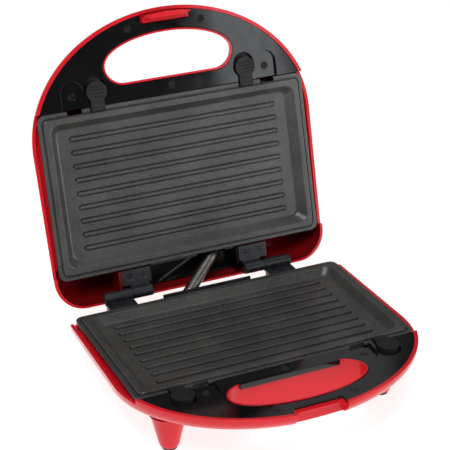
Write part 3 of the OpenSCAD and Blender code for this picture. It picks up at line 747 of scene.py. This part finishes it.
RIB_LENGTH = 171
RIB_PITCH = 10.63
RIB_COUNT = 9
MOAT_W = 0.95
MOAT_H = 1.3


def stadium(y, grow):
    r = RIB_W / 2 + grow
    x = RIB_LENGTH / 2 - RIB_W / 2
    return arc(x, y, r, r, -90, 90, 14) + arc(-x, y, r, r, 90, 270, 14)


def rib(y):
    """A rib with a rounded crest, standing in a fine groove."""
    crest = [(0, FLOOR_H + MOAT_H + 0.4), (0, RIB_TOP_H + 0.7)]
    crest += [(-0.7 * (1 - math.cos(math.radians(a))), RIB_TOP_H + 0.7 - 0.7 * math.sin(math.radians(a)))
              for a in (22, 45, 67, 90)]
    return loft([ring(stadium(y, grow), h) for grow, h in crest])


def plate(half):
    section = [ring(round_rect(plate_w - 2 * i, plate_d - 2 * i, r), h)
               for i, h, r in PLATE_UNDERSIDE[::-1] + PLATE_SECTION]
    pan = loft(section)
    for k in range(RIB_COUNT):
        y = (k - (RIB_COUNT - 1) / 2) * RIB_PITCH
        cut(pan, prism(stadium(y, MOAT_W), FLOOR_H - 1, FLOOR_H + MOAT_H))
        join(pan, rib(y))
    for x in (-base_tab_x, -lid_tab_x, lid_tab_x, base_tab_x):
        cut(pan, box((x - 6, -plate_d, 0), (x + 6, -plate_d / 2 + FLANGE_W - 0.4, 6)))
    clean(pan, 0.05)
    shade(round_edges(pan, 0.12, 2, 50), 30)
    stand_for(place(pan, half), COATING, half + "_plate")


plate("base")
plate("lid")


# ---- latch ------------------------------------------------------------------------------------

def latch():
    lever = latch_slice(latch_w, slot_inset + 0.4, latch_rear_y, -3.5, 3.5)
    join(lever, latch_slice(latch_w, slot_inset + 1.6, latch_rear_y - 0.8, 3.4, latch_top_h),
         latch_slice(latch_w, slot_inset + 0.4, hook_rear_y, hook_h, -3.4),
         box((-hook_w / 2, hook_rear_y - 1, hook_h), (hook_w / 2, hook_rear_y + 1.4, hook_h + 2.4)))
    cut(lever, lying_post(-latch_w, latch_w, latch_pin_y, latch_pin_h, latch_pin_r + 0.05))
    clean(lever, 0.05)
    round_edges(lever, 0.4, 4)
    stand_for(place(lever, "lid"), RED, "latch")


latch()


# ---- pieces that keep their CAD form, with rounded edges ------------------------------------------

def soften(node, material, width_mm, segments=3, angle=32):
    """A copy of a CAD piece with its sharp edges rounded, which stands for it."""
    source = frame["nodes"][node]
    mesh = source.data.copy()
    obj = bpy.data.objects.new(node, mesh)
    bpy.context.scene.collection.objects.link(obj)
    for name in [a.name for a in mesh.attributes if a.name.startswith("custom_normal")]:
        mesh.attributes.remove(mesh.attributes[name])
    work = bmesh.new()
    work.from_mesh(mesh)
    bmesh.ops.remove_doubles(work, verts=work.verts, dist=5e-6)
    bmesh.ops.dissolve_limit(work, angle_limit=math.radians(0.5), verts=work.verts, edges=work.edges)
    work.to_mesh(mesh)
    work.free()
    round_edges(obj, width_mm * MM, segments, angle)
    return stand_for(obj, material, node)


for half in ("base", "lid"):
    soften(half + "_bezel", BLACK, 0.3)
    soften(half + "_rear_guard", ENAMEL, 0.25)
    for side in ("left", "right"):
        soften(f"{half}_release_{side}", TAB, 0.22, 2)
        soften(f"{half}_hinge_leaf_{side}", ENAMEL, 0.3)
    soften(half + "_bezel_screws", SCREW if half == "lid" else ENAMEL, 0.12, 2)
    soften(half + "_hinge_screws", ENAMEL, 0.12, 2)
    soften(half + "_reflector", TRAY, 0.25, 2)
soften("lid_inner_cover", BLACK, 0.3)
soften("foot_pads", RUBBER, 0.4)
soften("cord_gland", GLAND, 0.5)
soften("lamp_lenses", LENS, 0.5)
soften("terminal_block", CERAMIC, 0.4)
soften("thermostat", CERAMIC, 0.3)


# ---- the wound conduit over the hinge ------------------------------------------------------------

CONDUIT_R = 4.7
CONDUIT_SIDES = 28
WIND_PITCH = 1.5
WIND_DEPTH = 0.16
# The route's points: half, then x, y and h in that half's frame
CONDUIT_ROUTE = [("base", *conduit_base), ("base", -17, 72, 16.5), ("base", -16.5, 72.3, 12.2),
                 ("base", -14.6, 73, 9.2), ("base", -11, 75.1, 6.9), ("lid", 12.8, 72.5, 5.4),
                 ("lid", 16.6, 70, 8), ("lid", 19.2, 69, 11), ("lid", 20, 69, 13.8), ("lid", *conduit_lid)]


def conduit():
    route = [list(HALVES[half] @ Vector((x, y, h))) for half, x, y, h in CONDUIT_ROUTE]
    path = [Vector(p) for p in curve_through(route, 60, None, None)]
    side = Vector((0, 1, 0))
    rings = []
    length = 0.0
    for i, p in enumerate(path):
        ahead = (path[min(i + 1, len(path) - 1)] - path[max(i - 1, 0)]).normalized()
        side = (side - ahead * side.dot(ahead)).normalized()
        other = ahead.cross(side)
        length += (p - path[i - 1]).length / MM if i else 0
        points = []
        for k in range(CONDUIT_SIDES):
            a = 2 * math.pi * k / CONDUIT_SIDES
            swell = abs(math.sin(math.pi * length / WIND_PITCH + a / 2))
            r = (CONDUIT_R - WIND_DEPTH * (1 - swell)) * MM
            points.append(p + r * (math.cos(a) * side + math.sin(a) * other))
        rings.append(points)
    tube = loft(rings)
    shade(tube, 80)
    tube.name = "wiring_conduit_looks"
    tube.data.materials.append(WOUND)
    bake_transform(tube, "base", "lid", start=route[2], end=route[8])
    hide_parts("wiring_conduit")


conduit()


# ---- release springs, which shorten when a tab is pulled -------------------------------------------

SPRING_TURNS = 5
SPRING_R = 2.1
SPRING_WIRE_R = 0.35
SPRING_H = 8.7
SPRING_REAR_Y = -80.3
SPRING_FRONT_Y = -90.8
TURN_STEPS = 20


def spring(half, side, x):
    steps = SPRING_TURNS * TURN_STEPS
    path = [Vector((x + SPRING_R * math.cos(2 * math.pi * i / TURN_STEPS),
                    SPRING_REAR_Y + (SPRING_FRONT_Y - SPRING_REAR_Y) * i / steps,
                    SPRING_H + SPRING_R * math.sin(2 * math.pi * i / TURN_STEPS)))
            for i in range(steps + 1)]
    rings = []
    for i, p in enumerate(path):
        ahead = (path[min(i + 1, steps)] - path[max(i - 1, 0)]).normalized()
        across = ahead.cross(Vector((0, 1, 0))).normalized()
        other = ahead.cross(across)
        rings.append([p + SPRING_WIRE_R * (math.cos(a) * across + math.sin(a) * other)
                      for a in (2 * math.pi * k / 10 for k in range(10))])
    coil = place(loft(rings), half)
    shade(coil, 80)
    node = f"{half}_spring_{side}"
    coil.name = node + "_looks"
    coil.data.materials.append(STEEL)
    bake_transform(coil, half, f"{half}_release_{side}",
             start=HALVES[half] @ Vector((x, SPRING_FRONT_Y, SPRING_H)),
             end=HALVES[half] @ Vector((x, SPRING_REAR_Y, SPRING_H)))
    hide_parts(node)


for half, tab_x in (("base", base_tab_x), ("lid", lid_tab_x)):
    spring(half, "left", -tab_x)
    spring(half, "right", tab_x)


# ---- materials of the CAD nodes that stay ----------------------------------------------------------

CAD_MATERIALS = {
    "hinge_pin_left": STEEL, "hinge_pin_right": STEEL, "latch_pin": STEEL, "thermal_fuse": CERAMIC,
    "neon_lamps": LAMP,
}
for half in ("base", "lid"):
    CAD_MATERIALS[half + "_reflector_screws"] = SCREW
    CAD_MATERIALS[half + "_element"] = SHEATH
    CAD_MATERIALS[half + "_element_clips"] = TRAY
    CAD_MATERIALS[half + "_wiring"] = SLEEVE
for node, material in CAD_MATERIALS.items():
    obj = frame["nodes"][node]
    for slot in obj.material_slots:
        slot.material = material
    if not obj.material_slots:
        obj.data.materials.append(material)


# ---- floor, light and camera -------------------------------------------------------------------------

def emitter(name, location, target, size, power, color=(1, 1, 1), spread=180):
    light = bpy.data.lights.new(name, "AREA")
    light.shape = "RECTANGLE"
    light.size, light.size_y = size
    light.energy = power
    light.color = color
    light.spread = math.radians(spread)
    obj = bpy.data.objects.new(name, light)
    obj.location = location
    obj.rotation_euler = (Vector(target) - Vector(location)).to_track_quat("-Z", "Y").to_euler()
    bpy.context.scene.collection.objects.link(obj)
    return obj


def studio():
    bpy.ops.mesh.primitive_circle_add(vertices=96, radius=7, fill_type="NGON")
    floor = bpy.context.object
    floor.name = "floor"
    s = Surface("pale_floor")
    s.set("Base Color", s.blend(s.span(s.noise(3, 3), 0, 1), (0.38, 0.38, 0.38), (0.42, 0.42, 0.42)))
    s.set("Roughness", s.span(s.noise(30, 3), 0.85, 0.95))
    s.shader.inputs["Emission Color"].default_value = (1, 1, 1, 1)
    s.shader.inputs["Emission Strength"].default_value = 0.85
    floor.data.materials.append(s.material)
    world = bpy.data.worlds.new("studio")
    bpy.context.scene.world = world
    world.use_nodes = True
    world.node_tree.nodes["Background"].inputs["Color"].default_value = (1, 1, 1, 1)
    world.node_tree.nodes["Background"].inputs["Strength"].default_value = 0.06
    centre = (0, 0, 0.1)
    lid_middle = (0, 0.1, 0.2)
    emitter("key", (-0.8, -1.1, 2.0), centre, (1.4, 1.1), 34)
    emitter("top", (0.2, 0.2, 2.4), centre, (2.2, 2.0), 8)
    emitter("panel_near", (0.98, -1.95, 0.55), lid_middle, (0.16, 1.0), 1.5, (0.92, 0.96, 1))
    emitter("panel_far", (1.66, -1.58, 0.6), lid_middle, (0.8, 1.1), 12.5, (0.94, 0.97, 1))
    emitter("back", (0.2, 2.2, 1.6), (0, 0, 0.2), (2.4, 1.2), 3)


CAMERA_ANGLES = (-23.796, 25.468, -1.0)
CAMERA_AT = (-0.41262, -0.90634, 0.60444)
LENS_MM = 122.24


def camera():
    """A long lens from the front left, above the table."""
    azimuth, elevation, roll = (math.radians(a) for a in CAMERA_ANGLES)
    back = Vector((math.sin(azimuth) * math.cos(elevation), -math.cos(azimuth) * math.cos(elevation),
                   math.sin(elevation)))
    level = Vector((math.cos(azimuth), math.sin(azimuth), 0))
    rise = back.cross(level)
    right = level * math.cos(roll) + rise * math.sin(roll)
    up = rise * math.cos(roll) - level * math.sin(roll)
    data = bpy.data.cameras.new("camera")
    data.lens = LENS_MM
    obj = bpy.data.objects.new("camera", data)
    turn = Matrix((right, up, back)).transposed().to_4x4()
    obj.matrix_world = Matrix.Translation(CAMERA_AT) @ turn
    bpy.context.scene.collection.objects.link(obj)
    bpy.context.scene.camera = obj


studio()
camera()
bpy.context.scene.view_settings.view_transform = "Standard"
